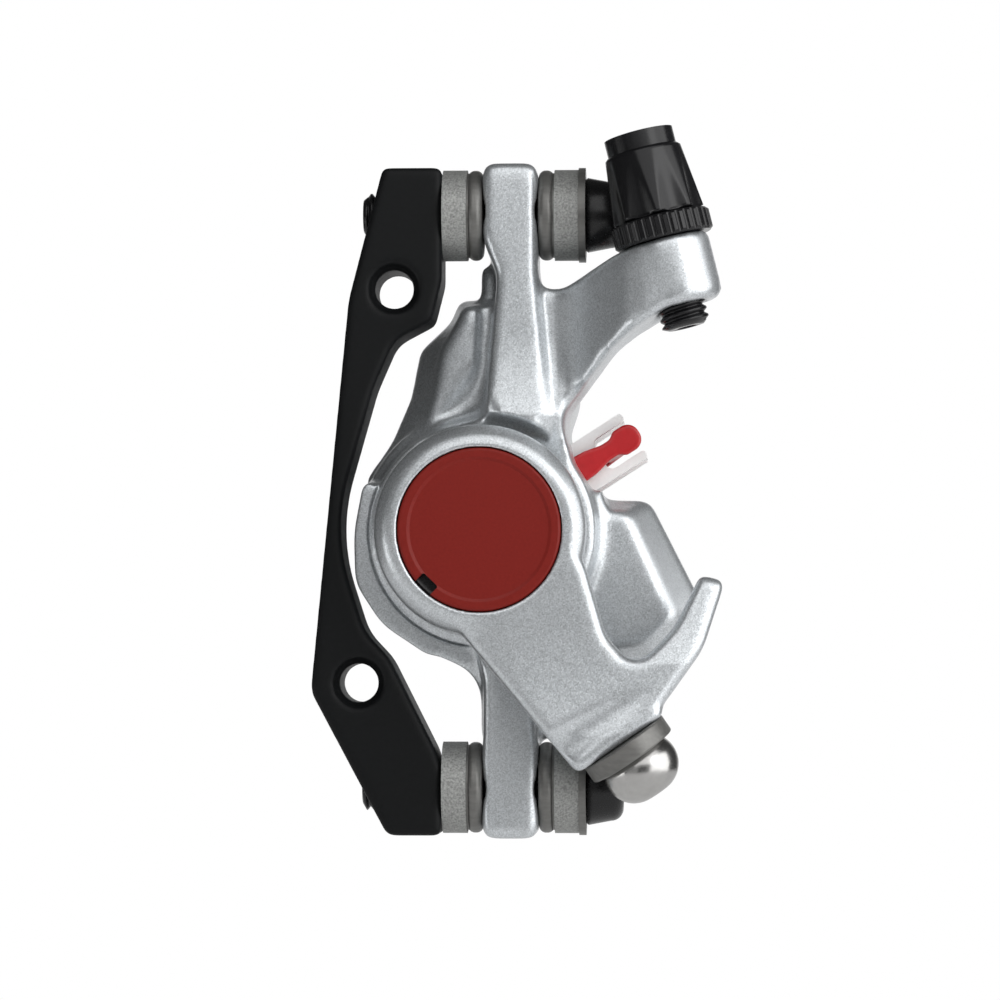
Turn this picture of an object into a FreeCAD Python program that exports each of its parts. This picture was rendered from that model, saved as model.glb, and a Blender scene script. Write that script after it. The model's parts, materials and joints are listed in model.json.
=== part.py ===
import FreeCAD, Part
import math
import os

os.makedirs("parts", exist_ok=True)
V = FreeCAD.Vector

# Mechanical disc brake caliper, millimetres.
# X right, Z up, Y away from the lever side; the origin is on the piston axis, midway between the pads.

# Mounting
bolt_plane_y = -14.0
bolt_high_z = 41.3
bolt_spacing = 74.2
bolt_z = (bolt_high_z, bolt_high_z - bolt_spacing)
bolt_r = 2.95
bracket_front_y = bolt_plane_y - 5.0
bracket_back_y = bolt_plane_y + 5.0
frame_holes = ((-11.4, 31.4), (-15.9, -19.4))
frame_hole_r = 2.5
frame_hole_sink_r = frame_hole_r + 0.65
ear_left_x = 0.0
ear_right_x = 7.2
ear_slot_r = bolt_r + 0.35
ear_slot_travel = 1.2

# Spherical washer stack
washer_r = 5.9
washer_hole_r = bolt_r + 0.25
concave_t = 3.2
convex_t = 2.0
flat_t = 0.9
ball_face_r = 10.0
ball_face_gap = 0.05
bolt_head_h = 4.8
bracket_post_x = ear_left_x - convex_t - concave_t

# Casting
drum_r = 16.3
flange_left_x = -drum_r - 0.35
bracket_gap = 2.6
drum_front_y = -17.7
drum_wall = 3.5
drum_ring_r = 14.7
flange_front_y = drum_front_y + 1.6
flange_top_z = 6.4
relief_start = drum_ring_r + 0.2
wing_front_y = -13.6
stop_draft = 1.3
slot_half = 2.4
inboard_back_y = 12.0
rotor_r = 82.0
rotor_x = -72.5

# Cam drive
cam_bore_r = 10.4
shaft_r = 4.9
bush_r = 6.4
run_gap = 0.05
ball_r = 2.3
ball_circle_r = 7.4
ball_y = -10.6
arm_turn = 28.0
arm_advance = 0.9
ramp_turn = 30.0

# Lever arm
hub_r = 13.5
hub_bevel = 1.4
hub_side_gap = 0.8
hub_back_y = drum_front_y - 1.4
arm_t = 6.8
arm_back_y = hub_back_y - 1.3
arm_front_y = arm_back_y - arm_t
arm_mid_y = (arm_front_y + arm_back_y) / 2
spring_room = 3.6
spring_r = 9.9
spring_wire = 0.48
spring_side_gap = 1.02
shaft_end_y = arm_front_y + 4.5
cap_r = 10.4
cap_t = 1.3
cap_sink = 0.1
cap_gap = 0.1
dish_r = 9.2
notch_angle = 226.0
notch_half = 1.3
notch_depth = 1.6
arm_end = ((12.3, -30.7), (23.0, -23.35))
anchor_bolt_r = 2.4
anchor_shift = 0.5
anchor_tilt = 5.0
anchor_washer_t = 2.4
anchor_washer_r = 5.95
anchor_head_r = 4.5
anchor_head_h = 5.5

# Barrel adjuster
barrel_tilt = 14.0
barrel_base = V(23.56, arm_mid_y, 36.9)
stem_r = 3.1
cable_hole_r = 1.2
boss_r = 5.6
boss_length = 8.8
stem_out = 2.6
lock_ring_r = 6.4
lock_ring_h = 2.9
knob_h = 8.7
lip_h = 2.2
housing_r = 2.55
ferrule_wall = 0.9
ferrule_lip = 1.9

# Pads
pocket_r = 10.9
pad_gap = 0.3
pad_r = pocket_r - pad_gap
friction_r = pad_r - 1.1
backing_t = 1.8
friction_t = 2.2
outboard_face_y = -1.9
inboard_face_y = 1.5
pad_t = friction_t + backing_t
pocket_front_y = outboard_face_y - pad_t - 0.5
pocket_back_y = inboard_face_y + pad_t + 0.7
foot_t = 1.1
tab_angle = 32.7
tab_offset = 0.6
tab_half = 3.45
tab_side_gap = 0.45
tab_prong = 1.15
tab_web_end = 18.2
tab_tip = 23.5
handle_front_y = -7.5
handle_t = 1.3
blade_half = 0.9

# Pad adjuster
screw_r = 7.5
knob_r = 9.2
knob_t = 4.0
knob_y = inboard_back_y + 2.0
knob_lobes = 9


def outline(corners, y):
    """Closed wire at depth y through (x, z, corner radius) points."""
    count = len(corners)
    arcs = []
    for i, (x, z, radius) in enumerate(corners):
        here = V(x, y, z)
        before = V(corners[i - 1][0], y, corners[i - 1][1])
        after = V(corners[(i + 1) % count][0], y, corners[(i + 1) % count][1])
        if radius == 0:
            arcs.append((here, None, here))
            continue
        back = (before - here).normalize()
        ahead = (after - here).normalize()
        half = back.getAngle(ahead) / 2
        reach = radius / math.tan(half)
        middle = (back + ahead).normalize()
        bulge = here + middle * (radius / math.sin(half) - radius)
        arcs.append((here + back * reach, bulge, here + ahead * reach))
    edges = []
    for i, (start, bulge, end) in enumerate(arcs):
        if bulge is not None:
            edges.append(Part.Arc(start, bulge, end).toShape())
        following = arcs[(i + 1) % count][0]
        if end.distanceToPoint(following) > 1e-6:
            edges.append(Part.LineSegment(end, following).toShape())
    return Part.Wire(Part.__sortEdges__(edges))


def plate(corners, front_y, back_y):
    face = Part.Face(outline(corners, front_y))
    return face.extrude(V(0, back_y - front_y, 0))


def edges_at(shape, y):
    return [e for e in shape.Edges if all(abs(v.Point.y - y) < 1e-5 for v in e.Vertexes)]


def soft_plate(corners, front_y, back_y, front_edge, back_edge=0):
    """Plate with rounded front and back rims."""
    shape = plate(corners, front_y, back_y)
    shape = shape.makeFillet(front_edge, edges_at(shape, front_y))
    if back_edge:
        shape = shape.makeFillet(back_edge, edges_at(shape, back_y))
    return shape


def sloped_plate(front_corners, front_y, back_corners, back_y, front_edge):
    """Plate that widens from its front outline to its back outline."""
    shape = Part.makeLoft([outline(front_corners, front_y), outline(back_corners, back_y)], True, True)
    return shape.makeFillet(front_edge, edges_at(shape, front_y))


def rod(radius, start_y, end_y, x=0, z=0):
    return Part.makeCylinder(radius, end_y - start_y, V(x, start_y, z), V(0, 1, 0))


def tube(radius, hole, start_y, end_y):
    return rod(radius, start_y, end_y).cut(rod(hole, start_y - 1, end_y + 1))


def rod_x(radius, start_x, end_x, z):
    return Part.makeCylinder(radius, end_x - start_x, V(start_x, bolt_plane_y, z), V(1, 0, 0))


def hexagon(across_flats, start, direction, depth):
    """Hexagonal prism for a socket."""
    radius = across_flats / math.sqrt(3)
    points = []
    for i in range(7):
        angle = math.radians(60 * i)
        points.append(V(radius * math.cos(angle), radius * math.sin(angle), 0))
    prism = Part.Face(Part.makePolygon(points)).extrude(V(0, 0, depth))
    turn = FreeCAD.Rotation(V(0, 0, 1), direction)
    prism.Placement = FreeCAD.Placement(start, turn)
    return prism


def ray_corners(bearing, offset, points):
    """Corners given as distance out along a ray from the piston axis, side and radius."""
    angle = math.radians(bearing)
    corners = []
    for distance, side, radius in points:
        x = distance * math.cos(angle) - (offset + side) * math.sin(angle)
        z = distance * math.sin(angle) + (offset + side) * math.cos(angle)
        corners.append((x, z, radius))
    return corners


def tab_corners(points):
    return ray_corners(tab_angle, tab_offset, points)


def save(name, shape):
    shape.exportStep("parts/" + name + ".step")


# Bracket: a C-shaped plate with a post at each end
bracket_outline = [
    (-12.9, bolt_z[0] + 5.8, 0.9), (bracket_post_x, bolt_z[0] + 5.8, 0.9),
    (bracket_post_x, bolt_z[0] - 8.8, 2.0), (-6.5, 27.3, 1.5), (-11.4, 24.7, 4.0), (-14.05, 18.6, 14),
    (flange_left_x - bracket_gap, 0.1, 24), (-15.1, -12.8, 7.0), (-11.9, -16.2, 7.0),
    (bracket_post_x - 0.75, bolt_z[1] + 4.9, 1.5), (bracket_post_x, bolt_z[1] + 2.6, 1.5),
    (bracket_post_x, bolt_z[1] - 6.1, 0.9), (-12.2, bolt_z[1] - 6.1, 1.6), (-22.1, -20.5, 3.6),
    (-17.3, 30.0, 14),
]
bracket = plate(bracket_outline, bracket_front_y, bracket_back_y)
bracket = bracket.makeChamfer(0.45, edges_at(bracket, bracket_front_y))
for x, z in frame_holes:
    bracket = bracket.cut(rod(frame_hole_r, bracket_front_y - 1, bracket_back_y + 1, x, z))
    bracket = bracket.cut(rod(frame_hole_sink_r, bracket_front_y - 1, bracket_front_y + 1.2, x, z))
for z in bolt_z:
    bracket = bracket.cut(rod_x(bolt_r + 0.02, -25, 0, z))
save("mount_bracket", bracket)

# Washer stacks, mirrored about the ear
convex_left = ear_left_x - convex_t
convex_right = ear_right_x + convex_t
concave_right = convex_right + concave_t
head_x = concave_right + flat_t
dome_reach = math.sqrt(ball_face_r ** 2 - washer_r ** 2)
concaves = []
convexes = []
flats = []
bolts = []
for z in bolt_z:
    for seat, sign in ((convex_left, -1), (convex_right, 1)):
        centre = V(seat - sign * dome_reach, bolt_plane_y, z)
        dome = Part.makeSphere(ball_face_r, centre)
        hollow = Part.makeSphere(ball_face_r + ball_face_gap, centre)
        low = min(seat, seat + sign * concave_t)
        ring = rod_x(washer_r, low, low + concave_t, z)
        concaves.append(ring.cut(hollow).cut(rod_x(washer_hole_r, -20, 20, z)))
        low = min(seat, seat - sign * convex_t)
        rim = rod_x(washer_r - 0.05, low, low + convex_t, z)
        rim = rim.makeFillet(0.45 * convex_t, [e for e in rim.Edges if e.Length > 20])
        dome_low = min(seat - sign, seat + 3 * sign)
        cap = dome.common(rod_x(washer_r - 0.4, dome_low, dome_low + 4, z))
        convexes.append(rim.fuse(cap).cut(rod_x(washer_hole_r, -20, 20, z)))
    flat = rod_x(washer_r + 0.25, concave_right, head_x, z)
    flats.append(flat.cut(rod_x(washer_hole_r, 0, 20, z)))
    head = Part.makeCone(4.9, 4.1, bolt_head_h, V(head_x, bolt_plane_y, z), V(1, 0, 0))
    tip = [e for e in head.Edges if e.CenterOfMass.x > head_x + bolt_head_h - 0.1 and e.Length > 20]
    head = head.makeFillet(1.6, tip)
    socket = hexagon(5.0, V(head_x + bolt_head_h - 3.2, bolt_plane_y, z), V(1, 0, 0), 5)
    shank = rod_x(bolt_r, -15.6, head_x + 1, z)
    bolts.append(head.cut(socket).fuse(shank))
save("concave_washers", Part.makeCompound(concaves))
save("convex_washers", Part.makeCompound(convexes))
save("bolt_flat_washers", Part.makeCompound(flats))
save("caliper_bolts", Part.makeCompound(bolts))

# Caliper body: a drum with two slotted ears, a cable stop and a bridge to the inboard half
drum_profile = [
    (0, -drum_front_y, 0), (drum_ring_r, -drum_front_y, 0.6),
    (drum_ring_r, -wing_front_y, drum_r - drum_ring_r), (drum_r, -wing_front_y, 0),
    (drum_r, -inboard_back_y, 0), (0, -inboard_back_y, 0),
]
drum_half = Part.Face(outline(drum_profile, 0))
drum_half.rotate(V(0, 0, 0), V(1, 0, 0), 90)
drum = drum_half.revolve(V(0, 0, 0), V(0, 1, 0), 360)
window = tab_half + tab_side_gap
relief_corners = [(relief_start, window, 0), (26, window, 0), (26, -window, 0), (relief_start, -window, 0)]
drum = drum.cut(plate(tab_corners(relief_corners), drum_front_y - 1, handle_front_y))
flange_outline = [
    (0, flange_top_z, 0), (flange_left_x + 1.2, flange_top_z, 0.6), (flange_left_x, 0, 14),
    (flange_left_x + 0.2, -6.6, 5.0), (flange_left_x + 3.65, -11.9, 8.0), (-7.0, -15.9, 2.0), (0, -15.9, 0),
]
flange = soft_plate(flange_outline, flange_front_y, inboard_back_y, 0.8, 1.5)
column_outline = [
    (ear_left_x, bolt_z[0] + 6.35, 1.3), (ear_right_x, bolt_z[0] + 6.35, 1.3), (ear_right_x, 33.0, 3.0),
    (9.4, 9.0, 0.5), (-0.3, 9.0, 0.5), (1.9, 33.0, 3.0), (ear_left_x, 38.0, 2.5),
]
column = soft_plate(column_outline, -19.7, -8.3, 1.2, 1.0)
neck_outline = [
    (-8.0, -8.0, 1.0), (-11.0, -13.6, 3.0), (-0.3, -18.4, 5.0), (-0.3, -26.2, 0.8),
    (0.4, -27.4, 0.8), (0.4, -30.0, 1.0), (6.5, -30.0, 1.0), (6.5, -8.0, 1.0),
]
neck = soft_plate(neck_outline, flange_front_y, -8.3, 1.5, 1.0)
lower_ear_outline = [
    (-1.5, -13.0, 1.0), (0.1, -19.0, 4.0), (0.1, -25.0, 4.0), (ear_left_x, -28.0, 1.0),
    (ear_left_x, bolt_z[1] - 6.5, 1.3), (ear_right_x, bolt_z[1] - 6.5, 1.3), (ear_right_x, -13.0, 1.0),
]
lower_ear = soft_plate(lower_ear_outline, -19.3, -8.3, 0.9, 0.9)
shoulder_outline = [
    (-3.5, 30.9, 1.2), (6.0, 30.9, 1.0), (6.0, 5.0, 1.0), (-15.9, 5.0, 1.0), (-15.7, 7.6, 1.0),
    (-12.4, 12.2, 4.0), (-9.9, 18.0, 3.0), (-8.7, 24.2, 2.0), (-4.6, 28.0, 2.0),
]
shoulder_front = [
    (-2.7, 29.4, 1.2), (6.0, 29.4, 1.0), (6.0, 5.0, 1.0), (-10.2, 5.0, 1.0), (-10.0, 7.6, 1.0),
    (-8.3, 12.0, 4.0), (-6.6, 17.4, 3.0), (-5.4, 23.6, 2.0), (-3.4, 27.6, 2.0),
]
shoulder = plate(shoulder_outline, -7.6, inboard_back_y)
shoulder_slope = sloped_plate(shoulder_front, -14.6, shoulder_outline, -7.5, 1.0)
valley_outline = [
    (-0.7, 31.0, 0), (-0.9, 21.3, 5.0), (-6.6, 14.4, 0), (-13.0, 12.5, 0),
    (-13.0, 3.0, 0), (7.0, 3.0, 0), (7.0, 31.0, 0),
]
shoulder_slope = shoulder_slope.cut(plate(valley_outline, -20, -13.2))
web_top = bolt_z[0] - washer_r - 0.4
ear_web_outline = [(-0.5, web_top, 0.5), (3.0, web_top, 0.5), (3.0, 29.0, 0.5), (-0.5, 29.0, 0.5)]
ear_web = plate(ear_web_outline, -11.0, -8.3)
web_low = bolt_z[1] + washer_r + 0.4
lower_web_outline = [(5.0, -15.0, 0.5), (9.6, -15.0, 0.5), (9.6, web_low, 0.5), (5.0, web_low, 0.5)]
lower_web = plate(lower_web_outline, -13.5, -8.3)

# Cable stop: an arm that swells towards the boss
def stop_outline(lift):
    """Outline of the cable stop with its lower edge lifted by the draft."""
    lower_edge = [
        (27.0, 28.9, 0.5), (20.3, 24.8, 6.0), (17.4, 22.7, 5.0), (10.2, 14.6, 4.0), (12.0, 8.5, 1.0),
    ]
    upper_edge = [
        (5.0, 8.5, 1.0), (5.0, 34.5, 0.5), (ear_right_x, 34.5, 0.5), (ear_right_x + 0.4, 31.4, 1.2),
        (10.4, 31.4, 1.5), (17.0, 35.0, 4.0), (25.0, 37.2, 0.5),
    ]
    return upper_edge + [(x - 0.65 * lift, z + 0.76 * lift, radius) for x, z, radius in lower_edge]


stop_depth = [
    (4.0, 17.8, 0), (10.5, 18.2, 6.0), (19.6, 28.4, 6.0), (24.6, 29.4, 0.5),
    (24.6, 18.3, 0.5), (18.5, 18.0, 4.0), (11.5, 10.0, 3.0), (4.0, 9.0, 0),
]
stop_swell = plate(stop_depth, 5, 45)
stop_swell.rotate(V(0, 0, 0), V(1, 0, 0), 90)
stop_front = outline(stop_outline(stop_draft), -32)
stop_back = outline(stop_outline(-stop_draft / 3), -8)
cable_stop = Part.makeLoft([stop_front, stop_back], True, True).common(stop_swell)
barrel_up = V(-math.sin(math.radians(barrel_tilt)), 0, math.cos(math.radians(barrel_tilt)))
boss = Part.makeCylinder(boss_r, boss_length, barrel_base - barrel_up * boss_length, barrel_up)
boss = boss.makeFillet(1.4, [e for e in boss.Edges if e.CenterOfMass.z < 30 and e.Length > 20])

# Bridge: the upper wall and the wing join the two halves outside the disc edge
bridge_outline = [
    (5.5, 29.0, 1.0), (8.5, 29.0, 2.0), (12.2, 18.5, 3.0),
    (10.7, 14.0, 1.0), (11.8, 9.0, 1.0), (5.5, 9.0, 1.0),
]
upper_bridge = plate(bridge_outline, -14.0, inboard_back_y)
wing_outline = [
    (8.0, 4.6, 1.4), (21.5, 4.4, 1.8), (28.6, -9.6, 2.5),
    (25.8, -18.4, 4.0), (12.0, -19.6, 3.0), (4.0, -16.0, 1.6),
]
wing_front = [
    (7.0, 3.0, 1.4), (18.5, 2.6, 1.6), (24.6, -11.2, 1.6),
    (21.0, -14.2, 1.6), (12.0, -15.6, 3.0), (4.0, -13.6, 1.6),
]
wing = soft_plate(wing_outline, inboard_back_y, -8.6, 1.2)
wing_slope = sloped_plate(wing_front, wing_front_y, wing_outline, -8.5, 0.9)

body = drum.fuse([flange, column, neck, lower_ear, lower_web, shoulder, shoulder_slope, ear_web,
                  cable_stop, boss, upper_bridge, wing, wing_slope])
boss_back_y = inboard_back_y + 1.4
inboard_boss = rod(screw_r + 3.5, boss_back_y - 5.4, boss_back_y)
body = body.fuse(inboard_boss.makeFillet(1.0, edges_at(inboard_boss, boss_back_y)))
disc_sweep = rod(rotor_r, -slot_half, slot_half, rotor_x)
pad_pocket = rod(pocket_r, pocket_front_y, pocket_back_y)
window_corners = tab_corners([(5, window, 0), (26, window, 0), (26, -window, 0), (5, -window, 0)])
tab_window = plate(window_corners, handle_front_y - 0.2, pocket_back_y)
cam_bore = rod(cam_bore_r, drum_front_y + drum_wall, 0)
bush_bore = rod(bush_r, drum_front_y - 2, 0)
screw_bore = rod(screw_r + run_gap, 0, 20)
throat_corners = [(-30, pocket_r, 0), (0, pocket_r, 0), (0, -pocket_r, 0), (-30, -pocket_r, 0)]
throat = plate(throat_corners, pocket_front_y, pocket_back_y)
room_r = hub_r + hub_side_gap
hub_room = Part.makeCone(room_r, room_r + 15, 10, V(0, drum_front_y, 0), V(0, -1, 0))
body = body.cut([disc_sweep, pad_pocket, tab_window, cam_bore, bush_bore, screw_bore, throat, hub_room])
for z in bolt_z:
    slot = rod_x(ear_slot_r, -8, 16, z)
    moved = [slot.translated(V(0, d, 0)) for d in (-ear_slot_travel, ear_slot_travel)]
    corner = V(-8, bolt_plane_y - ear_slot_travel, z - ear_slot_r)
    box = Part.makeBox(24, 2 * ear_slot_travel, 2 * ear_slot_r, corner)
    body = body.cut(moved + [box])
stem_bore = Part.makeCylinder(stem_r + run_gap, 30, barrel_base - barrel_up * 15, barrel_up)
ring_room = Part.makeCylinder(lock_ring_r + 0.5, 6, barrel_base, barrel_up)
body = body.cut([stem_bore, ring_room])
save("caliper_body", body.removeSplitter())

# Cam drive: bush, fixed cam, balls, driven cam with its shaft, pressure foot
save("shaft_bush", tube(bush_r, shaft_r + run_gap, drum_front_y - 0.4, drum_front_y + drum_wall))
fixed_cam = tube(cam_bore_r, shaft_r + 0.5, drum_front_y + drum_wall, ball_y - 0.7)
foot_front_y = outboard_face_y - pad_t - foot_t
drive_cam = rod(cam_bore_r - 0.5, ball_y + 0.7, foot_front_y)
shaft = rod(shaft_r, hub_back_y, ball_y + 1)
balls = []
for i in range(3):
    angle = math.radians(90 + 120 * i)
    x = ball_circle_r * math.cos(angle)
    z = ball_circle_r * math.sin(angle)
    ball = Part.makeSphere(ball_r, V(x, ball_y, z))
    balls.append(ball)
    seat = Part.makeSphere(ball_r + 0.03, V(x, ball_y, z))
    drive_cam = drive_cam.cut(seat)
    for step in range(6):
        turn = ramp_turn * step / 5
        bearing = angle + math.radians(turn)
        depth = ball_y + arm_advance * turn / arm_turn
        centre = V(ball_circle_r * math.cos(bearing), depth, ball_circle_r * math.sin(bearing))
        fixed_cam = fixed_cam.cut(Part.makeSphere(ball_r + 0.3, centre))
square = Part.makeBox(8, hub_back_y - shaft_end_y, 8, V(-4, shaft_end_y, -4))
square = square.common(rod(shaft_r, shaft_end_y, 0))
arm_thread = rod(2.55, arm_front_y - 1, -14)
drive_cam = drive_cam.fuse([shaft, square]).cut(arm_thread)
save("fixed_cam", fixed_cam)
save("bearing_balls", Part.makeCompound(balls))
save("drive_cam", drive_cam.removeSplitter())
foot = rod(6.5, foot_front_y, foot_front_y + foot_t)
save("pressure_foot", foot.makeFillet(0.4, edges_at(foot, foot_front_y + foot_t)))

# Lever arm: hub, lever and cable horn
end_low = V(arm_end[0][0], arm_mid_y, arm_end[0][1])
end_high = V(arm_end[1][0], arm_mid_y, arm_end[1][1])
end_run = (end_high - end_low).normalize()
end_across = V(end_run.z, 0, -end_run.x)
tilt = math.radians(anchor_tilt)
end_normal = end_across * math.cos(tilt) + V(0, math.sin(tilt), 0)
end_point = (end_low + end_high) / 2 + end_run * anchor_shift + V(0, 0.4, 0)
spare = end_across * (arm_t / 2 * math.tan(tilt) + 0.2)
arm_outline = [
    (-8.4, -6.0, 0), (arm_end[0][0] + spare.x, arm_end[0][1] + spare.z, 1.4),
    (arm_end[1][0] + spare.x, arm_end[1][1] + spare.z, 0.5), (23.1, -22.4, 0.6), (28.4, -15.2, 10.0),
    (31.2, -6.4, 1.0), (28.0, -5.7, 0.6), (24.6, -12.4, 6.0), (19.7, -17.6, 2.6), (16.0, -13.4, 4.0),
    (13.4, -4.4, 8.0), (9.0, 3.0, 0),
]
lever = soft_plate(arm_outline, arm_front_y, arm_back_y, 1.2, 0.7)
beyond_end = Part.makeBox(40, 40, 10, V(-20, -20, 0))
beyond_end.Placement = FreeCAD.Placement(end_point, FreeCAD.Rotation(V(0, 0, 1), end_normal))
dip_start = end_point - end_across * 3.6 - end_run * 8
dip_start.y = arm_front_y - 3.2
dip = Part.makeCone(4.2, 3.2, 15, dip_start, end_run)
lever = lever.cut([beyond_end, dip])
hub = rod(hub_r, arm_front_y, hub_back_y)
hub = hub.makeChamfer(hub_bevel, edges_at(hub, arm_front_y))
arm = lever.fuse(hub)
cap_front_y = arm_front_y + cap_sink
cap_back_y = cap_front_y + cap_t
arm = arm.cut(rod(cap_r + cap_gap, arm_front_y - 1, cap_back_y))
arm = arm.cut(rod(7.4, arm_front_y - 1, shaft_end_y))
square_hole = Part.makeBox(8.04, 9, 8.04, V(-4.02, shaft_end_y - 1, -4.02))
arm = arm.cut(square_hole.common(rod(shaft_r + 0.02, -40, 0)))
spring_side = spring_wire + spring_side_gap
spring_floor_y = hub_back_y - spring_room
arm = arm.cut(tube(spring_r + spring_side, spring_r - spring_side, spring_floor_y, hub_back_y + 1))
groove_outline = [
    (23.3, -23.0, 0), (36, -23, 0), (36, 0, 0), (29.5, -4, 0), (30.0, -6.8, 0.5), (27.4, -15.4, 9.0),
]
arm = arm.cut(plate(groove_outline, arm_mid_y - 1.1, arm_mid_y + 1.1))
anchor_hole = Part.makeCylinder(anchor_bolt_r + 0.02, 10, end_point - end_normal * 8, end_normal)
arm = arm.cut(anchor_hole)
save("lever_arm", arm.removeSplitter())

cap = rod(cap_r, cap_front_y, cap_back_y)
cap = cap.makeFillet(0.4, edges_at(cap, cap_front_y))
cap = cap.cut(Part.makeCone(dish_r, dish_r - 0.4, 0.15, V(0, cap_front_y, 0), V(0, 1, 0)))
notch = ray_corners(notch_angle, 0, [
    (cap_r + 1, notch_half, 0), (cap_r - notch_depth, notch_half, 0.3),
    (cap_r - notch_depth, -notch_half, 0.3), (cap_r + 1, -notch_half, 0),
])
save("arm_cap", cap.cut(plate(notch, cap_front_y - 1, cap_back_y + 1)))
save("arm_bolt_washer", tube(6.8, 2.7, shaft_end_y - 1.1, shaft_end_y))
arm_bolt = rod(2.5, shaft_end_y - 2, -15).fuse(rod(4.2, shaft_end_y - 3.0, shaft_end_y - 1.1))
save("arm_bolt", arm_bolt.cut(hexagon(4.0, V(0, shaft_end_y - 1.6, 0), V(0, -1, 0), 5)))

# Return spring coiled in the back of the hub
coil = Part.makeHelix(1.4, 2.1, spring_r)
section = [(-1, -1), (1, -1), (1, 1), (-1, 1), (-1, -1)]
wire_end = Part.makePolygon([V(spring_r + spring_wire * a, 0, spring_wire * b) for a, b in section])
spring = Part.Wire(coil.Edges).makePipeShell([wire_end], True, True)
spring.Placement = FreeCAD.Placement(V(0, hub_back_y - 0.7, 0), FreeCAD.Rotation(V(1, 0, 0), 90))
save("return_spring", spring)

# Cable anchor: clamp washer and domed bolt on the lever end
anchor_washer = Part.makeCylinder(anchor_washer_r, anchor_washer_t, end_point, end_normal)
anchor_washer = anchor_washer.makeFillet(0.3, [e for e in anchor_washer.Edges if e.Length > 30])
washer_hole = Part.makeCylinder(anchor_bolt_r + 0.1, 9, end_point - end_normal * 3, end_normal)
save("anchor_washer", anchor_washer.cut(washer_hole))
head_base = end_point + end_normal * anchor_washer_t
top_r = anchor_head_r - 2.4
dome_side = V(anchor_head_r + 0.45, 0, 2.2)
dome = Part.Arc(V(anchor_head_r, 0, 0), dome_side, V(top_r, 0, anchor_head_h)).toShape()
flat_top = Part.makeLine(V(top_r, 0, anchor_head_h), V(0, 0, anchor_head_h))
core = Part.makeLine(V(0, 0, anchor_head_h), V(0, 0, 0))
floor = Part.makeLine(V(0, 0, 0), V(anchor_head_r, 0, 0))
anchor_head = Part.Face(Part.Wire([dome, flat_top, core, floor])).revolve(V(0, 0, 0), V(0, 0, 1), 360)
anchor_head.Placement = FreeCAD.Placement(head_base, FreeCAD.Rotation(V(0, 0, 1), end_normal))
anchor_head = anchor_head.cut(hexagon(3.0, head_base + end_normal * 2.5, end_normal, 5))
anchor_bolt = anchor_head.fuse(Part.makeCylinder(anchor_bolt_r, 10, end_point - end_normal * 7, end_normal))
save("anchor_bolt", anchor_bolt)

# Barrel adjuster on its tilted axis
def barrel_rod(radius, start, end):
    return Part.makeCylinder(radius, end - start, barrel_base + barrel_up * start, barrel_up)


knob_start = lock_ring_h + 0.2
knob_end = knob_start + knob_h
ring = barrel_rod(lock_ring_r, 0, lock_ring_h)
ring = ring.makeChamfer(0.35, [e for e in ring.Edges if e.Length > 30])
knurls = []
for i in range(36):
    angle = 2 * math.pi * i / 36
    side = V(math.cos(angle) * barrel_up.z, math.sin(angle), -math.cos(angle) * barrel_up.x)
    start = barrel_base + side * (lock_ring_r + 0.12) - barrel_up
    knurls.append(Part.makeCylinder(0.36, lock_ring_h + 2, start, barrel_up))
ring = ring.cut(knurls).cut(barrel_rod(stem_r + run_gap, -1, lock_ring_h + 1))
save("lock_ring", ring)
knob = Part.makeCone(5.9, 4.9, knob_h, barrel_base + barrel_up * knob_start, barrel_up)
flutes = []
for i in range(8):
    angle = 2 * math.pi * (i + 0.5) / 8
    side = V(math.cos(angle) * barrel_up.z, math.sin(angle), -math.cos(angle) * barrel_up.x)
    low = barrel_base + barrel_up * (knob_start - 1) + side * 9.1
    flutes.append(Part.makeCylinder(4.0, knob_h + 2, low, barrel_up))
knob = knob.cut(flutes)
knob = knob.fuse(barrel_rod(stem_r, -boss_length - stem_out, knob_start))
sleeve_r = housing_r + ferrule_wall
sleeve_hole = barrel_rod(sleeve_r + run_gap, knob_end - 5.0, knob_end + 1)
knob = knob.cut([sleeve_hole, barrel_rod(cable_hole_r, -15, knob_end)])
save("barrel_adjuster", knob.removeSplitter())
ferrule = barrel_rod(housing_r + ferrule_lip, knob_end, knob_end + lip_h)
ferrule = ferrule.fuse(barrel_rod(sleeve_r, knob_end - 4.9, knob_end))
housing_hole = barrel_rod(housing_r, knob_end - 4.0, knob_end + 5)
ferrule = ferrule.cut([housing_hole, barrel_rod(cable_hole_r, knob_end - 8, knob_end)])
save("housing_ferrule", ferrule.removeSplitter())

# Pads: round backing plates with a forked pull tab
fork = tab_corners([
    (4, tab_half, 0), (tab_tip, tab_half, 0.4), (tab_tip, tab_half - tab_prong, 0.4),
    (tab_web_end, tab_half - tab_prong, 1.0), (tab_web_end, tab_prong - tab_half, 1.0),
    (tab_tip, tab_prong - tab_half, 0.4), (tab_tip, -tab_half, 0.4), (4, -tab_half, 0),
])
for side, face_y, sign in (("outboard", outboard_face_y, -1), ("inboard", inboard_face_y, 1)):
    bond_y = face_y + sign * friction_t
    back_y = bond_y + sign * backing_t
    low = min(bond_y, back_y)
    backing = rod(pad_r, low, low + backing_t).fuse(plate(fork, low, low + backing_t))
    save(side + "_backing_plate", backing.removeSplitter())
    low = min(face_y, bond_y)
    friction = rod(friction_r, low, low + friction_t)
    friction = friction.makeChamfer(0.5, edges_at(friction, face_y))
    save(side + "_friction_pad", friction)

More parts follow.
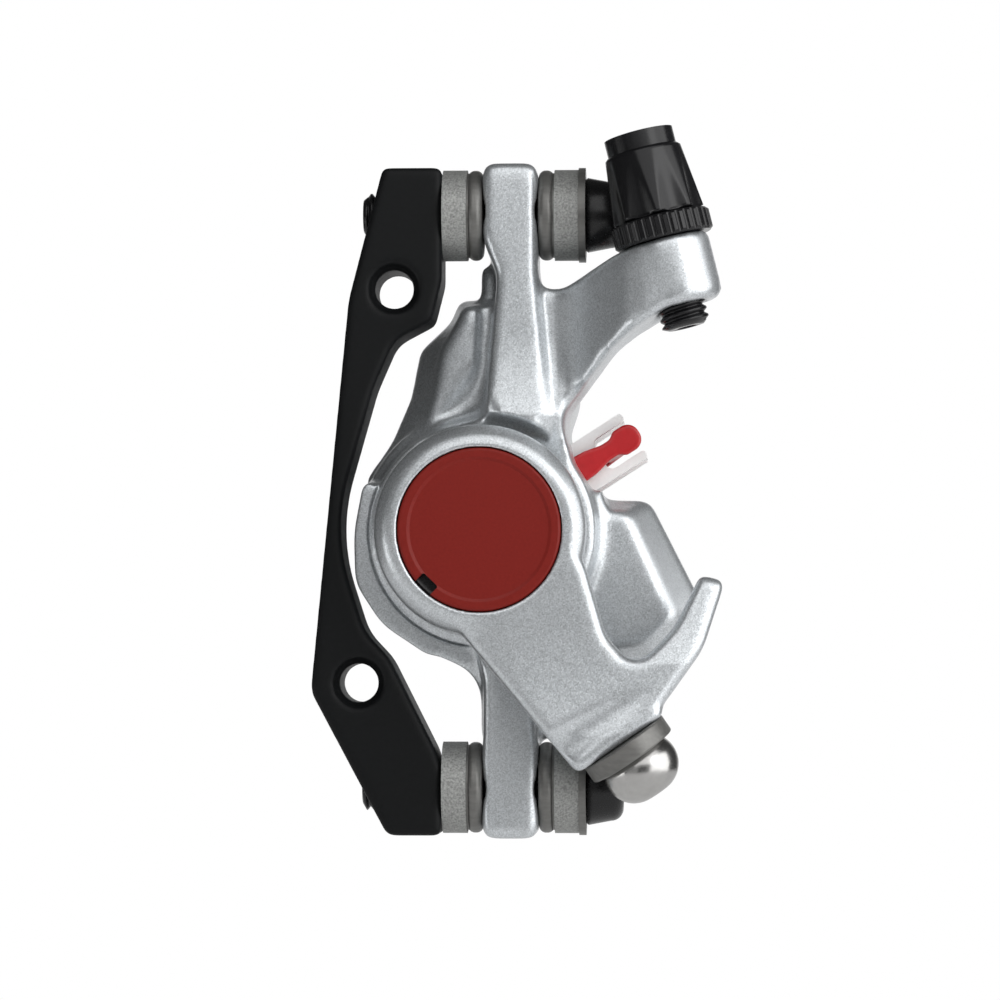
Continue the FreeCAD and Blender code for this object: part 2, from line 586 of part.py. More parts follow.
# Transport spacer: a blade between the pads with a handle over the outboard tab
blade = plate(tab_corners([
    (-7, 6.5, 3), (7, 6.5, 3), (9, 2.0, 2), (21.5, 1.15, 0.5),
    (21.5, -1.15, 0.5), (9, -2.0, 2), (7, -6.5, 3), (-7, -6.5, 3),
]), -blade_half, blade_half)
rise = plate(tab_corners([
    (18.6, 1.15, 0.3), (21.5, 1.15, 0.3), (21.5, -1.15, 0.3), (18.6, -1.15, 0.3),
]), handle_front_y + 0.3, blade_half)
handle = plate(tab_corners([
    (13.8, 1.85, 0.4), (16.6, 1.7, 3.0), (19.0, 1.15, 1.5), (20.4, 1.15, 1.0),
    (21.2, 1.8, 0.8), (24.2, 1.8, 1.6), (24.2, -1.8, 1.6), (21.2, -1.8, 0.8),
    (20.4, -1.15, 1.0), (19.0, -1.15, 1.5), (16.6, -1.7, 3.0), (13.8, -1.85, 0.4),
]), handle_front_y, handle_front_y + handle_t)
save("pad_spacer", blade.fuse([rise, handle]).removeSplitter())

# Inboard pad adjuster: a threaded plug and its scalloped hand wheel
plug = rod(screw_r, inboard_face_y + pad_t, knob_y)
save("adjuster_screw", plug)
wheel = rod(knob_r, knob_y, knob_y + knob_t)
wheel = wheel.makeFillet(0.8, edges_at(wheel, knob_y + knob_t))
scallops = []
for i in range(knob_lobes):
    angle = 2 * math.pi * i / knob_lobes
    x = (knob_r + 1.2) * math.cos(angle)
    z = (knob_r + 1.2) * math.sin(angle)
    scallops.append(rod(2.0, knob_y - 1, knob_y + knob_t + 1, x, z))
wheel = wheel.cut(scallops).cut(hexagon(5.0, V(0, knob_y + 1.0, 0), V(0, 1, 0), 5))
save("adjuster_knob", wheel)
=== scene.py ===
import json
import math

import bmesh
import bpy
import numpy as np
from mathutils import Matrix, Vector


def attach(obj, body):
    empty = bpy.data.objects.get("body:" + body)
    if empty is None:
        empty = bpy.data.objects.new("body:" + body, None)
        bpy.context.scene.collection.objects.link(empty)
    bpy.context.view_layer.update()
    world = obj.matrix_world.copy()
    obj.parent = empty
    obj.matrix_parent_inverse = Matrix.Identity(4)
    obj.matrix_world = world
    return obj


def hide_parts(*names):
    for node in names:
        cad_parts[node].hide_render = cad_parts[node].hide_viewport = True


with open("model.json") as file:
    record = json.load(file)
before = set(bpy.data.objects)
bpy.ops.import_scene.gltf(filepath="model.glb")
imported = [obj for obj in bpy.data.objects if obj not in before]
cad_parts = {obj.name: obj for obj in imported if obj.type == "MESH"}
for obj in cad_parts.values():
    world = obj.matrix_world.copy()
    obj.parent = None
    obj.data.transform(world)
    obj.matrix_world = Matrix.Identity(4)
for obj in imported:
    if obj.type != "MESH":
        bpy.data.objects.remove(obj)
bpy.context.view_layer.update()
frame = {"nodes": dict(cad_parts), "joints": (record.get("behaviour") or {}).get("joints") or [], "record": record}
nodes = frame["nodes"]

# Lengths are in millimetres and bearings in degrees, unless a heading says otherwise
MM = 0.001

# Camera at the photograph's viewpoint
camera_place = (24.774, -533.081, -18.402)
camera_target = (2.113, -14.071, 4.280)
camera_lens = 144.32
camera_sensor = 36.0

# Lamps: place and size in metres, power in watts
lamps = {
    "left_softbox": ((-0.55, -0.22, -0.13), (0.3, 0.15), 0.5),
    "front_softbox": ((-0.30, -0.62, -0.10), (0.4, 0.4), 0.15),
    "right_softbox": ((0.62, -0.33, 0.06), (0.9, 0.9), 6.0),
    "top_softbox": ((0.10, -0.42, 0.32), (0.8, 0.5), 1.7),
}

# World: a dim room in front, a white backdrop behind, and how far towards +Y the one turns into the other
room_level = 0.06
backdrop_level = 1.0
backdrop_start = 0.8
backdrop_full = 0.99

# Floor; the glow is the share of white that the camera and reflections see on it
floor_half = 300.0
floor_z = -90.0
floor_color = (0.85, 0.85, 0.85)
floor_roughness = 0.7
floor_glow = 0.55

# Silver flake paint: flakes under a clear coat with a faint peel
paint_color = (0.60, 0.625, 0.645)
paint_metallic = 0.75
paint_roughness = 0.38
paint_coat = 0.3
coat_roughness = 0.12
flake_size = 0.15
flake_tilt = 0.08
flake_dark = (0.44, 0.463, 0.478)
flake_pale = (0.755, 0.785, 0.81)
peel_size = 1.1
peel_depth = 0.006
peel_roughness = (0.34, 0.42)

# Other finishes: size and depth of their grain, and how far the grain spreads the colour
grain_detail = 6
grain_gloss = 0.2
grained_finishes = {
    "black_paint": dict(
        color=(0.006, 0.0065, 0.007), metallic=0.0, roughness=0.50,
        size=0.5, depth=0.008, spread=0.25, sheen=0.15,
    ),
    "black_steel": dict(
        color=(0.010, 0.010, 0.011), metallic=0.25, roughness=0.28,
        size=0.4, depth=0.01, spread=0.3,
    ),
    "grey_steel": dict(
        color=(0.18, 0.178, 0.17), metallic=0.5, roughness=0.42,
        size=0.5, depth=0.01, spread=0.3, stretch=(0.3, 1, 1),
    ),
    "blasted_alloy": dict(
        color=(0.34, 0.345, 0.335), metallic=0.4, roughness=0.55,
        size=0.25, depth=0.05, spread=0.9,
    ),
    "bronze": dict(
        color=(0.40, 0.26, 0.11), metallic=1.0, roughness=0.45,
        size=0.2, depth=0.02, spread=0.35,
    ),
    "bright_steel": dict(
        color=(0.46, 0.455, 0.445), metallic=1.0, roughness=0.25,
        size=0.9, depth=0.012, spread=0.12,
    ),
    "pale_steel": dict(
        color=(0.95, 0.95, 0.94), metallic=0.1, roughness=0.36,
        size=0.4, depth=0.01, spread=0.05,
    ),
    "friction": dict(
        color=(0.06, 0.05, 0.045), metallic=0.2, roughness=0.8,
        size=0.3, depth=0.06, spread=0.6,
    ),
    "red_cap": dict(
        color=(0.215, 0.0165, 0.012), metallic=0.0, roughness=0.38,
        size=0.35, depth=0.012, spread=0.14, sheen=0.18,
    ),
    "red_plastic": dict(
        color=(0.50, 0.016, 0.020), metallic=0.0, roughness=0.30,
        size=0.6, depth=0.008, spread=0.12,
    ),
    "black_plastic": dict(
        color=(0.008, 0.008, 0.009), metallic=0.0, roughness=0.24,
        size=0.5, depth=0.005, spread=0.3, sheen=0.35,
    ),
}

# Castings: voxels that each copy is made of, and rounds that soften its corners
weld_distance = 0.001
soften_share = 0.5
body_voxel = 0.40
body_rounds = 15
arm_voxel = 0.24
arm_first_rounds = 2
arm_rounds = 20
bracket_voxel = 0.34
bracket_rounds = 4
spacer_voxel = 0.16
spacer_rounds = 5

# Bores that softening leaves alone
pad_pocket_r = 11.3
hub_wall_r = 11.6

# Inner corners that are softened further: middle, reach and rounds
column_corner = (8.5, -19.0, 15.0)
column_corner_reach = 7.0
column_corner_rounds = 24
shoulder_corner = (-3.7, -15.5, 16.5)
shoulder_corner_reach = 6.0
shoulder_corner_rounds = 32
horn_corner = (26.5, -24.0, -14.5)
horn_corner_reach = 8.0
horn_corner_rounds = 16

# Forms of the castings: a pair of values says where a form starts and where it acts in full
above_hub_z = (12.0, 15.0)

# The tab window's back corner, which stays crisp because the inboard pad slides towards it
window_low_bearing = (8, 9)
window_high_bearing = (66, 65)
window_reach = 16.0
window_back_y = 6.2
window_corner = 1.4
window_softness = 0.25

# The column's foot flares forwards, and a strip under it fills up to the hub
column_mid_x = 4.6
column_front_y = -19.7
foot_flare = 1.2
foot_z = (26.0, 15.0)
foot_y = (-12.0, -18.0)
foot_half_width = (7.5, 5.5)
strip_half_width = (4.4, 2.2)
strip_reach = (14.4, 15.4)
strip_z = (19.0, 16.5)
strip_low_z = 10.0
strip_back_y = -17.0

# The flange's left rim: its bevel is pressed to a thin edge, and the wall behind it reaches forwards
rim_front_y = -17.7
rim_edge_y = -17.2
rim_bevel = 3.2
rim_wall = 1.92
rim_start_bearing = (153, 157)
rim_end_bearing = (285, 260)
rim_inner_r = (14.5, 14.9)
rim_outer_r = (23.0, 20.0)

# The shoulder leans back
shoulder_lean = 1.5
shoulder_x = (0.5, -8.5)
shoulder_y = (-9.0, -13.0)

# The arm bends back, its end comes forwards and its horn leans back
arm_bend = 1.2
arm_bend_x = 6.0
arm_bend_length = 22.0
arm_lift = 1.0
arm_lift_z = (-12.0, -26.0)
horn_lean = 1.6
horn_x = (18.0, 23.0)
horn_z = (-17.0, -6.0)

# The hub's face slopes back outside the cap, and its pocket is given a dark finish as painted shade
hub_slope = 0.25
hub_face_r = 10.9
hub_face_width = 2.6
hub_face_y = (-22.0, -25.0)
hub_start_bearing = (20, 45)
hub_end_bearing = (285, 260)
shade_pocket_r = 10.85
shade_pocket_y = -26.9

# Screw threads: their pitch, the spacing of their rings, and the slope and start of their flanks
thread_pitch = 1.0
thread_step = 0.1
flank_slope = 3.0
flank_start = 0.35

# Caliper bolts; heights along a bolt start at its tip
bolt_axis_y = -14.0
bolt_axis_z = (41.3, -32.9)
bolt_tip_x = -15.6
bolt_tip_r = 2.1
bolt_r = 2.95
bolt_thread_depth = 0.45
bolt_thread_start = 0.5
bolt_thread_end = 9.0
bolt_plain_start = 9.3
bolt_head_x = 13.3
bolt_head_h = 4.8
bolt_seat_r = 4.6
bolt_head_r = 4.85
bolt_head_chamfer = 0.3
bolt_top_r = 4.3
bolt_round = 1.6
bolt_round_rings = 9
hexagon_width = 5.0
hexagon_sink = 0.3
hexagon_depth = 3.2
bolt_steps = 96

# Barrel adjuster; heights along it start at the lock ring's seat
cable_hole_r = 1.2
stem_r = 3.1
stem_length = 11.4
stem_end_r = 2.3
stem_lead = 0.35
stem_thread_depth = 0.42
stem_thread_end = -1.0
stem_plain_start = -0.8
knob_start = 3.1
knob_h = 8.7
knob_low_r = 5.9
knob_top_r = 4.9
knob_underside = 0.05
knob_foot_r = 5.3
knob_foot_h = 0.15
knob_rim_r = 4.6
knob_rim_h = 0.3
knob_step = 0.3
socket_r = 3.5
socket_depth = 5.0
flute_count = 8
flute_r = 4.0
flute_circle_r = 9.1
flute_clear = 1.0
ridge_round = 0.12
barrel_steps = 192


# Materials

def surface(name, color, metallic, roughness, coat=0.0, sheen=0.5):
    """Material with one Principled shader, its plain values set on the shader."""
    made = bpy.data.materials.new(name)
    made.use_nodes = True
    shader = made.node_tree.nodes["Principled BSDF"]
    shader.inputs["Base Color"].default_value = (*color, 1)
    shader.inputs["Metallic"].default_value = metallic
    shader.inputs["Roughness"].default_value = roughness
    shader.inputs["Specular IOR Level"].default_value = sheen
    shader.inputs["Coat Weight"].default_value = coat
    shader.inputs["Coat Roughness"].default_value = coat_roughness
    return made


def add_node(made, kind, **values):
    node = made.node_tree.nodes.new(kind)
    for key, value in values.items():
        setattr(node, key, value)
    return node


def texture(made, kind, size, stretch=(1, 1, 1)):
    """Procedural texture in the row frame whose cells are about size millimetres wide."""
    place = add_node(made, "ShaderNodeTexCoord")
    spread = add_node(made, "ShaderNodeMapping")
    spread.inputs["Scale"].default_value = stretch
    made.node_tree.links.new(place.outputs["Object"], spread.inputs["Vector"])
    pattern = add_node(made, kind)
    pattern.inputs["Scale"].default_value = 1 / (size * MM)
    made.node_tree.links.new(spread.outputs["Vector"], pattern.inputs["Vector"])
    return pattern


def shade(made, value, low, high):
    """Base colour that runs from low to high with a texture's value."""
    blend = add_node(made, "ShaderNodeValToRGB")
    blend.color_ramp.elements[0].color = (*low, 1)
    blend.color_ramp.elements[1].color = (*high, 1)
    shader = made.node_tree.nodes["Principled BSDF"]
    made.node_tree.links.new(value, blend.inputs["Fac"])
    made.node_tree.links.new(blend.outputs["Color"], shader.inputs["Base Color"])


def gloss(made, value, low, high):
    """Roughness that runs from low to high with a texture's value."""
    spread = add_node(made, "ShaderNodeMapRange")
    spread.inputs["To Min"].default_value = low
    spread.inputs["To Max"].default_value = high
    shader = made.node_tree.nodes["Principled BSDF"]
    made.node_tree.links.new(value, spread.inputs["Value"])
    made.node_tree.links.new(spread.outputs["Result"], shader.inputs["Roughness"])


def relief(made, value, depth, normal=None):
    """Bump of a depth in millimetres on the shader's normal."""
    bump = add_node(made, "ShaderNodeBump")
    bump.inputs["Distance"].default_value = depth * MM
    if normal is not None:
        made.node_tree.links.new(normal, bump.inputs["Normal"])
    shader = made.node_tree.nodes["Principled BSDF"]
    made.node_tree.links.new(value, bump.inputs["Height"])
    made.node_tree.links.new(bump.outputs["Normal"], shader.inputs["Normal"])


def flake_normal(made, flakes):
    """Normal that leans a little, at random, from flake to flake."""
    centre = add_node(made, "ShaderNodeVectorMath", operation="SUBTRACT")
    centre.inputs[1].default_value = (0.5, 0.5, 0.5)
    lean = add_node(made, "ShaderNodeVectorMath", operation="SCALE")
    lean.inputs["Scale"].default_value = flake_tilt
    place = add_node(made, "ShaderNodeNewGeometry")
    total = add_node(made, "ShaderNodeVectorMath", operation="ADD")
    unit = add_node(made, "ShaderNodeVectorMath", operation="NORMALIZE")
    link = made.node_tree.links.new
    link(flakes.outputs["Color"], centre.inputs[0])
    link(centre.outputs["Vector"], lean.inputs[0])
    link(lean.outputs["Vector"], total.inputs[0])
    link(place.outputs["Normal"], total.inputs[1])
    link(total.outputs["Vector"], unit.inputs[0])
    return unit.outputs["Vector"]


def silver_flake_paint():
    made = surface("silver_flake_paint", paint_color, paint_metallic, paint_roughness, coat=paint_coat)
    flakes = texture(made, "ShaderNodeTexVoronoi", flake_size)
    shade(made, flakes.outputs["Color"], flake_dark, flake_pale)
    peel = texture(made, "ShaderNodeTexNoise", peel_size)
    gloss(made, peel.outputs["Fac"], *peel_roughness)
    relief(made, peel.outputs["Fac"], peel_depth, flake_normal(made, flakes))
    return made


def grained(name, color, metallic, roughness, size, depth, spread, sheen=0.5, stretch=(1, 1, 1)):
    """Surface whose colour, gloss and relief vary with one grain."""
    made = surface(name, color, metallic, roughness, sheen=sheen)
    grain = texture(made, "ShaderNodeTexNoise", size, stretch)
    grain.inputs["Detail"].default_value = grain_detail
    low = [value * (1 - spread) for value in color]
    high = [min(1, value * (1 + spread)) for value in color]
    shade(made, grain.outputs["Fac"], low, high)
    gloss(made, grain.outputs["Fac"], roughness * (1 - grain_gloss), roughness * (1 + grain_gloss))
    relief(made, grain.outputs["Fac"], depth)
    return made


finishes = {"silver_paint": silver_flake_paint()}
for name, values in grained_finishes.items():
    finishes[name] = grained(name, **values)

slots = {part["node"]: part["material_slot"] for part in frame["record"]["subparts"]}
for name, node in nodes.items():
    node.data.materials.clear()
    node.data.materials.append(finishes[slots[name]])


# Pieces that stand for a node

def stand_for(piece, node, body):
    """Show a piece in place of a node, on the node's body and with its finish."""
    piece.data.materials.clear()
    piece.data.materials.append(finishes[slots[node]])
    for face in piece.data.polygons:
        face.use_smooth = True
    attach(piece, body)
    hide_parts(node)


def new_piece(name, mesh):
    piece = bpy.data.objects.new(name, mesh)
    bpy.context.scene.collection.objects.link(piece)
    return piece


# Castings: soft copies of nodes

def mesh_points(mesh):
    """Places of a mesh's points, in millimetres."""
    points = np.empty(len(mesh.vertices) * 3)
    mesh.vertices.foreach_get("co", points)
    return points.reshape(-1, 3) / MM


def place_points(mesh, points):
    mesh.vertices.foreach_set("co", (points * MM).ravel())


def voxel_copy(name, node, voxel):
    """Mesh of a node made anew from voxels, so that its points lie evenly."""
    closed = bmesh.new()
    closed.from_mesh(nodes[node].data)
    bmesh.ops.remove_doubles(closed, verts=closed.verts, dist=weld_distance * MM)
    mesh = bpy.data.meshes.new(name + "_start")
    closed.to_mesh(mesh)
    closed.free()
    start = new_piece(name + "_start", mesh)
    remesh = start.modifiers.new("voxels", "REMESH")
    remesh.mode = "VOXEL"
    remesh.voxel_size = voxel * MM
    ready = start.evaluated_get(bpy.context.evaluated_depsgraph_get())
    even = bpy.data.meshes.new_from_object(ready)
    bpy.data.objects.remove(start)
    return even


def soften(mesh, rounds, weight):
    """Even out a mesh, which rounds its corners; weight is 1 where it acts in full."""
    points = mesh_points(mesh)
    count = len(points)
    edges = np.empty(len(mesh.edges) * 2, int)
    mesh.edges.foreach_get("vertices", edges)
    first, second = edges.reshape(-1, 2).T
    degree = np.bincount(edges, minlength=count)[:, None]
    share = soften_share * weight(points)[:, None]
    for _ in range(rounds):
        total = np.empty_like(points)
        for axis in range(3):
            total[:, axis] = np.bincount(first, points[second, axis], count)
            total[:, axis] += np.bincount(second, points[first, axis], count)
        points += share * (total / degree - points)
    place_points(mesh, points)


def cast_copy(name, node, body, voxel, passes, shift=None):
    """Copy of a node, softened in passes of rounds and weight, its points then moved along Y by a shift."""
    mesh = voxel_copy(name, node, voxel)
    for rounds, weight in passes:
        soften(mesh, rounds, weight)
    if shift:
        points = mesh_points(mesh)
        points[:, 1] += shift(points)
        place_points(mesh, points)
    piece = new_piece(name, mesh)
    stand_for(piece, node, body)
    return piece


def ramp(value, start, full):
    """Weight that is 0 up to a start and 1 from full on, in either direction."""
    return np.clip((value - start) / (full - start), 0, 1)


def axis_reach(points):
    """Distance of each point from the piston axis."""
    return np.hypot(points[:, 0], points[:, 2])


def axis_bearing(points):
    """Bearing of each point about the piston axis, in degrees from +X towards +Z."""
    return np.degrees(np.arctan2(points[:, 2], points[:, 0])) % 360


def everywhere(points):
    return np.ones(len(points))


def outside_bore(radius):
    """Weight that is 0 within a radius of the piston axis and 1 outside."""
    def weight(points):
        return (axis_reach(points) > radius).astype(float)
    return weight


def outside_pad_pocket(points):
    """Weight that is 0 in the pads' pocket, low in the tab window's back corner and 1 elsewhere."""
    bearing = axis_bearing(points)
    corner = ramp(bearing, *window_low_bearing) * ramp(bearing, *window_high_bearing)
    corner *= axis_reach(points) <= window_reach
    corner *= np.abs(points[:, 1] - window_back_y) < window_corner
    return outside_bore(pad_pocket_r)(points) * (1 - (1 - window_softness) * corner)


def near(centre, reach):
    """Weight that is 1 about a point and fades to 0 over the outer half of a reach."""
    def weight(points):
        away = np.linalg.norm(points - np.array(centre), axis=1)
        return ramp(away, reach, reach / 2)
    return weight


def column_foot(points):
    """Shift that flares the column's foot and fills the strip between it and the hub."""
    x, y, z = points.T
    flare = foot_flare * ramp(z, *foot_z) ** 2
    off_middle = np.abs(x - column_mid_x)
    foot = flare * ramp(off_middle, *foot_half_width) * ramp(y, *foot_y) * ramp(z, *above_hub_z)
    strip = ramp(off_middle, *strip_half_width) * ramp(axis_reach(points), *strip_reach)
    strip *= ramp(z, *strip_z) * ((z > strip_low_z) & (y < strip_back_y))
    return strip * np.minimum(column_front_y - flare - (y - foot), 0) - foot


def flange_rim(points):
    """Shift that squares up the flange's left rim."""
    y = points[:, 1]
    bearing = axis_bearing(points)
    reach = axis_reach(points)
    bevel_end = rim_front_y + rim_bevel
    wall_end = bevel_end + rim_wall
    square = np.interp(y, [rim_front_y, bevel_end, wall_end], [rim_front_y, rim_edge_y, wall_end])
    rim = ramp(bearing, *rim_start_bearing) * ramp(bearing, *rim_end_bearing)
    rim *= ramp(reach, *rim_inner_r) * ramp(reach, *rim_outer_r)
    rim *= (y > rim_front_y) & (y < wall_end)
    return rim * (square - y)


def shoulder_slope(points):
    """Shift that leans the shoulder back."""
    x, y, z = points.T
    return shoulder_lean * ramp(x, *shoulder_x) * ramp(y, *shoulder_y) * ramp(z, *above_hub_z)


def body_shift(points):
    return column_foot(points) + flange_rim(points) + shoulder_slope(points)


def arm_shift(points):
    """Shift that bends the arm, brings its end forwards, leans its horn and slopes the hub's face."""
    x, y, z = points.T
    bearing = axis_bearing(points)
    bend = arm_bend * (np.maximum(x - arm_bend_x, 0) / arm_bend_length) ** 2
    lift = arm_lift * ramp(z, *arm_lift_z) ** 2
    lean = horn_lean * ramp(z, *horn_z) * ramp(x, *horn_x)
    slope = hub_slope * np.clip(axis_reach(points) - hub_face_r, 0, hub_face_width)
    slope *= ramp(bearing, *hub_start_bearing) * ramp(bearing, *hub_end_bearing) * ramp(y, *hub_face_y)
    return bend - lift + lean + slope


def paint_pocket_shade(piece, radius, start_y, finish):
    """Give a pocket another finish, here a dark one as painted shade: the faces near the piston axis and behind a
    start.
    """
    piece.data.materials.append(finish)
    for face in piece.data.polygons:
        inside = math.hypot(face.center.x, face.center.z) < radius * MM
        if inside and face.center.y > start_y * MM:
            face.material_index = 1


body_passes = [
    (body_rounds, outside_pad_pocket),
    (column_corner_rounds, near(column_corner, column_corner_reach)),
    (shoulder_corner_rounds, near(shoulder_corner, shoulder_corner_reach)),
]
cast_copy("cast_body", "caliper_body", "caliper", body_voxel, body_passes, body_shift)

arm_passes = [
    (arm_first_rounds, everywhere),
    (arm_rounds, outside_bore(hub_wall_r)),
    (horn_corner_rounds, near(horn_corner, horn_corner_reach)),
]
cast_arm = cast_copy("cast_arm", "lever_arm", "arm", arm_voxel, arm_passes, arm_shift)
# The pocket inside the hub gets the black steel finish as painted shade
paint_pocket_shade(cast_arm, shade_pocket_r, shade_pocket_y, finishes["black_steel"])

cast_copy("painted_bracket", "mount_bracket", "caliper", bracket_voxel, [(bracket_rounds, everywhere)])
cast_copy("moulded_spacer", "pad_spacer", "caliper", spacer_voxel, [(spacer_rounds, everywhere)])


# Turned pieces: rings of points about an axis

def turned(name, rings, steps, base, direction, closed_loop=False):
    """Mesh through rings along an axis, each a height and a radius; a closed loop joins its ends."""
    turn = Vector((0, 0, 1)).rotation_difference(Vector(direction)).to_matrix().to_4x4()
    place = Matrix.Translation(Vector(base) * MM) @ turn
    angles = np.arange(steps) * 2 * math.pi / steps
    points = []
    for height, radius in rings:
        reach = radius(angles, height) if callable(radius) else np.full(steps, radius)
        heights = np.full(steps, height)
        points.append(np.stack([reach * np.cos(angles), reach * np.sin(angles), heights], 1))
    count = len(rings)
    faces = []
    for i in range(count if closed_loop else count - 1):
        low = i * steps
        high = (i + 1) % count * steps
        for j in range(steps):
            k = (j + 1) % steps
            faces.append((low + j, low + k, high + k, high + j))
    if not closed_loop:
        faces.append(tuple(reversed(range(steps))))
        faces.append(tuple(range((count - 1) * steps, count * steps)))
    mesh = bpy.data.meshes.new(name)
    mesh.from_pydata((np.concatenate(points) * MM).tolist(), [], faces)
    mesh.transform(place)
    mesh.update()
    return new_piece(name, mesh)


def levels(start, end, step):
    """Even heights from start to end, about a step apart."""
    return np.linspace(start, end, int(abs(end - start) / step) + 1)


def thread(crest, depth):
    """Radius of a screw thread at an angle and height."""
    def radius(angles, height):
        phase = (height / thread_pitch - angles / (2 * math.pi)) % 1
        return crest - depth * np.clip(flank_slope * np.abs(phase - 0.5) - flank_start, 0, 1)
    return radius


def hexagon(angles, height):
    """Radius of the bolts' hexagon socket at an angle."""
    corner = math.pi / 3
    return hexagon_width / 2 / np.cos(angles % corner - corner / 2)


def fluted_cone(angles, height):
    """Radius of the knob: a cone that round flutes cut into."""
    share = (height - knob_start) / knob_h
    cone = knob_low_r + (knob_top_r - knob_low_r) * share
    pitch = 2 * math.pi / flute_count
    away = angles % pitch - pitch / 2
    inside = flute_r ** 2 - (flute_circle_r * np.sin(away)) ** 2
    cut = flute_circle_r * np.cos(away) - np.sqrt(np.maximum(inside, 0))
    cut = np.where(inside > 0, cut, cone + flute_clear)
    return -ridge_round * np.log(np.exp(-cone / ridge_round) + np.exp(-cut / ridge_round))


def barrel_rings():
    """Barrel from its stem's end over the knob and down its socket."""
    top = knob_start + knob_h
    stem = thread(stem_r, stem_thread_depth)
    stem_levels = levels(-stem_length + stem_lead, stem_thread_end, thread_step)
    knob_levels = levels(knob_start + knob_foot_h, top - knob_rim_h, knob_step)
    rings = [(-stem_length, cable_hole_r), (-stem_length, stem_end_r)]
    rings += [(height, stem) for height in stem_levels]
    rings += [(stem_plain_start, stem_r), (knob_start - knob_underside, stem_r), (knob_start, knob_foot_r)]
    rings += [(height, fluted_cone) for height in knob_levels]
    rings += [(top, knob_rim_r), (top, socket_r)]
    rings += [(top - socket_depth, socket_r), (top - socket_depth, cable_hole_r)]
    return rings


def bolt_rings():
    """Bolt from its tip over the head and down its socket."""
    seat = bolt_head_x - bolt_tip_x
    top = seat + bolt_head_h
    screw = thread(bolt_r, bolt_thread_depth)
    rings = [(0, bolt_tip_r)]
    rings += [(height, screw) for height in levels(bolt_thread_start, bolt_thread_end, thread_step)]
    rings += [(bolt_plain_start, bolt_r), (seat, bolt_r)]
    rings += [(seat, bolt_seat_r), (seat + bolt_head_chamfer, bolt_head_r)]
    for angle in np.linspace(0, math.pi / 2, bolt_round_rings):
        height = top - bolt_round * (1 - math.sin(angle))
        rings.append((height, bolt_top_r - bolt_round * (1 - math.cos(angle))))
    rings += [(top - hexagon_sink, hexagon), (top - hexagon_depth, hexagon)]
    return rings


barrel_joint = next(joint for joint in frame["joints"] if joint["name"] == "barrel_turn")
barrel_base = Vector(barrel_joint["pos_m"]) / MM
barrel_up = barrel_joint["axis"]
barrel = turned("threaded_barrel", barrel_rings(), barrel_steps, barrel_base, barrel_up, closed_loop=True)
stand_for(barrel, "barrel_adjuster", "barrel")

for number, z in enumerate(bolt_axis_z):
    place = (bolt_tip_x, bolt_axis_y, z)
    bolt = turned("threaded_bolt_%d" % (number + 1), bolt_rings(), bolt_steps, place, (1, 0, 0))
    stand_for(bolt, "caliper_bolts", "caliper")


# Floor, light and camera

def floor_finish():
    """Pale matt floor that looks paler to the camera and in reflections, and keeps the shadow."""
    made = surface("pale_floor", floor_color, 0, floor_roughness)
    path = add_node(made, "ShaderNodeLightPath")
    seen = add_node(made, "ShaderNodeMath", operation="MAXIMUM")
    share = add_node(made, "ShaderNodeMath", operation="MULTIPLY")
    share.inputs[1].default_value = floor_glow
    glow = add_node(made, "ShaderNodeEmission")
    mix = add_node(made, "ShaderNodeMixShader")
    link = made.node_tree.links.new
    link(path.outputs["Is Camera Ray"], seen.inputs[0])
    link(path.outputs["Is Glossy Ray"], seen.inputs[1])
    link(seen.outputs["Value"], share.inputs[0])
    link(share.outputs["Value"], mix.inputs["Fac"])
    link(made.node_tree.nodes["Principled BSDF"].outputs["BSDF"], mix.inputs[1])
    link(glow.outputs["Emission"], mix.inputs[2])
    link(mix.outputs["Shader"], made.node_tree.nodes["Material Output"].inputs["Surface"])
    return made


def floor():
    signs = [(-1, -1), (1, -1), (1, 1), (-1, 1)]
    corners = [(x * floor_half * MM, y * floor_half * MM, floor_z * MM) for x, y in signs]
    mesh = bpy.data.meshes.new("floor")
    mesh.from_pydata(corners, [], [(0, 1, 2, 3)])
    ground = new_piece("floor", mesh)
    mesh.materials.append(floor_finish())


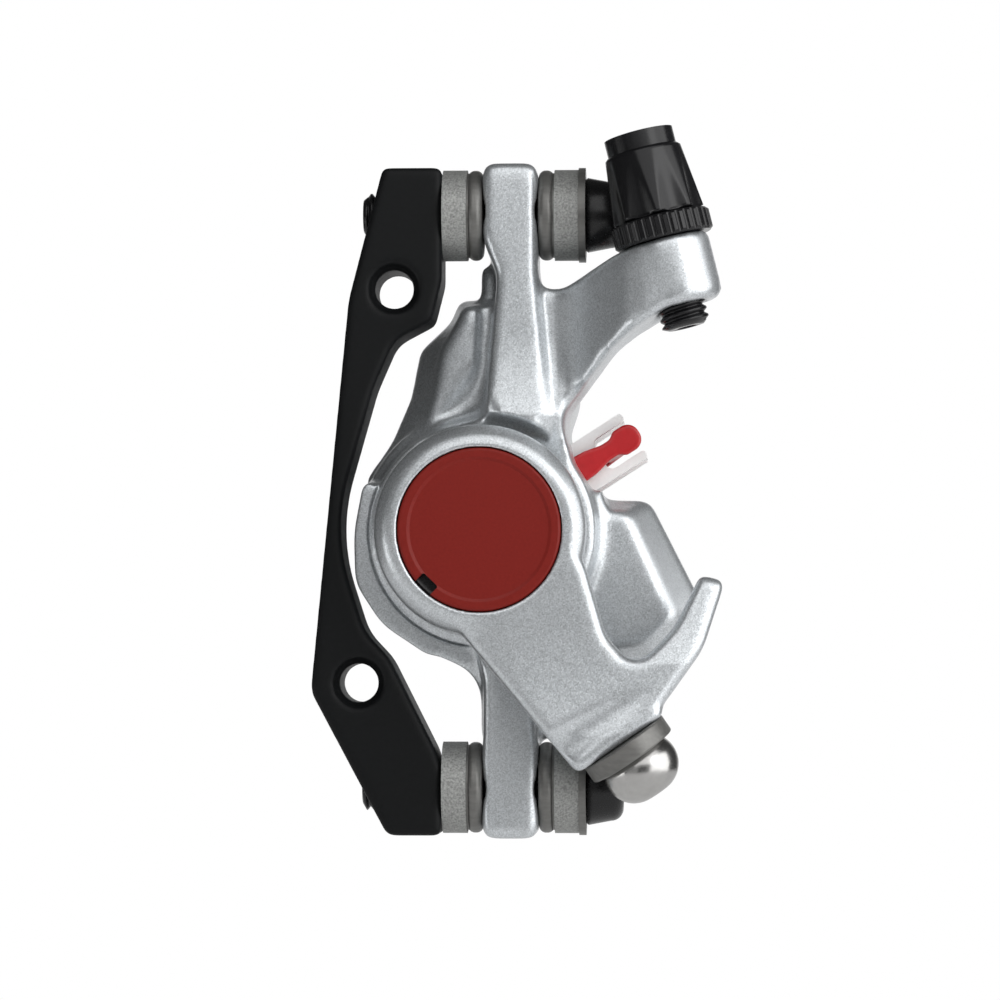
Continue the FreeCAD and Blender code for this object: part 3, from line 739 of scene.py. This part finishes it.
def area_light(name, place, size, power):
    """Rectangular lamp that points at the origin."""
    lamp = bpy.data.lights.new(name, "AREA")
    lamp.shape = "RECTANGLE"
    lamp.size, lamp.size_y = size
    lamp.energy = power
    holder = new_piece(name, lamp)
    holder.location = place
    holder.rotation_euler = (-Vector(place)).to_track_quat("-Z", "Y").to_euler()


def world_light():
    """White backdrop behind the object that fades to a dim room in front of it."""
    world = bpy.data.worlds.new("studio")
    bpy.context.scene.world = world
    world.use_nodes = True
    tree = world.node_tree
    backdrop = tree.nodes["Background"]
    backdrop.inputs["Color"].default_value = (1, 1, 1, 1)
    place = tree.nodes.new("ShaderNodeTexCoord")
    split = tree.nodes.new("ShaderNodeSeparateXYZ")
    fade = tree.nodes.new("ShaderNodeMapRange")
    fade.interpolation_type = "SMOOTHSTEP"
    fade.inputs["From Min"].default_value = backdrop_start
    fade.inputs["From Max"].default_value = backdrop_full
    fade.inputs["To Min"].default_value = room_level
    fade.inputs["To Max"].default_value = backdrop_level
    room = tree.nodes.new("ShaderNodeBackground")
    path = tree.nodes.new("ShaderNodeLightPath")
    mix = tree.nodes.new("ShaderNodeMixShader")
    link = tree.links.new
    link(place.outputs["Generated"], split.inputs["Vector"])
    link(split.outputs["Y"], fade.inputs["Value"])
    link(fade.outputs["Result"], room.inputs["Color"])
    link(path.outputs["Is Camera Ray"], mix.inputs["Fac"])
    link(room.outputs["Background"], mix.inputs[1])
    link(backdrop.outputs["Background"], mix.inputs[2])
    link(mix.outputs["Shader"], tree.nodes["World Output"].inputs["Surface"])


def camera():
    lens = bpy.data.cameras.new("camera")
    lens.lens = camera_lens
    lens.sensor_width = camera_sensor
    holder = new_piece("camera", lens)
    holder.location = Vector(camera_place) * MM
    look = Vector(camera_target) - Vector(camera_place)
    holder.rotation_euler = look.to_track_quat("-Z", "Y").to_euler()
    bpy.context.scene.camera = holder


floor()
world_light()
for name, (place, size, power) in lamps.items():
    area_light(name, place, size, power)
camera()
bpy.context.scene.view_settings.view_transform = "Standard"
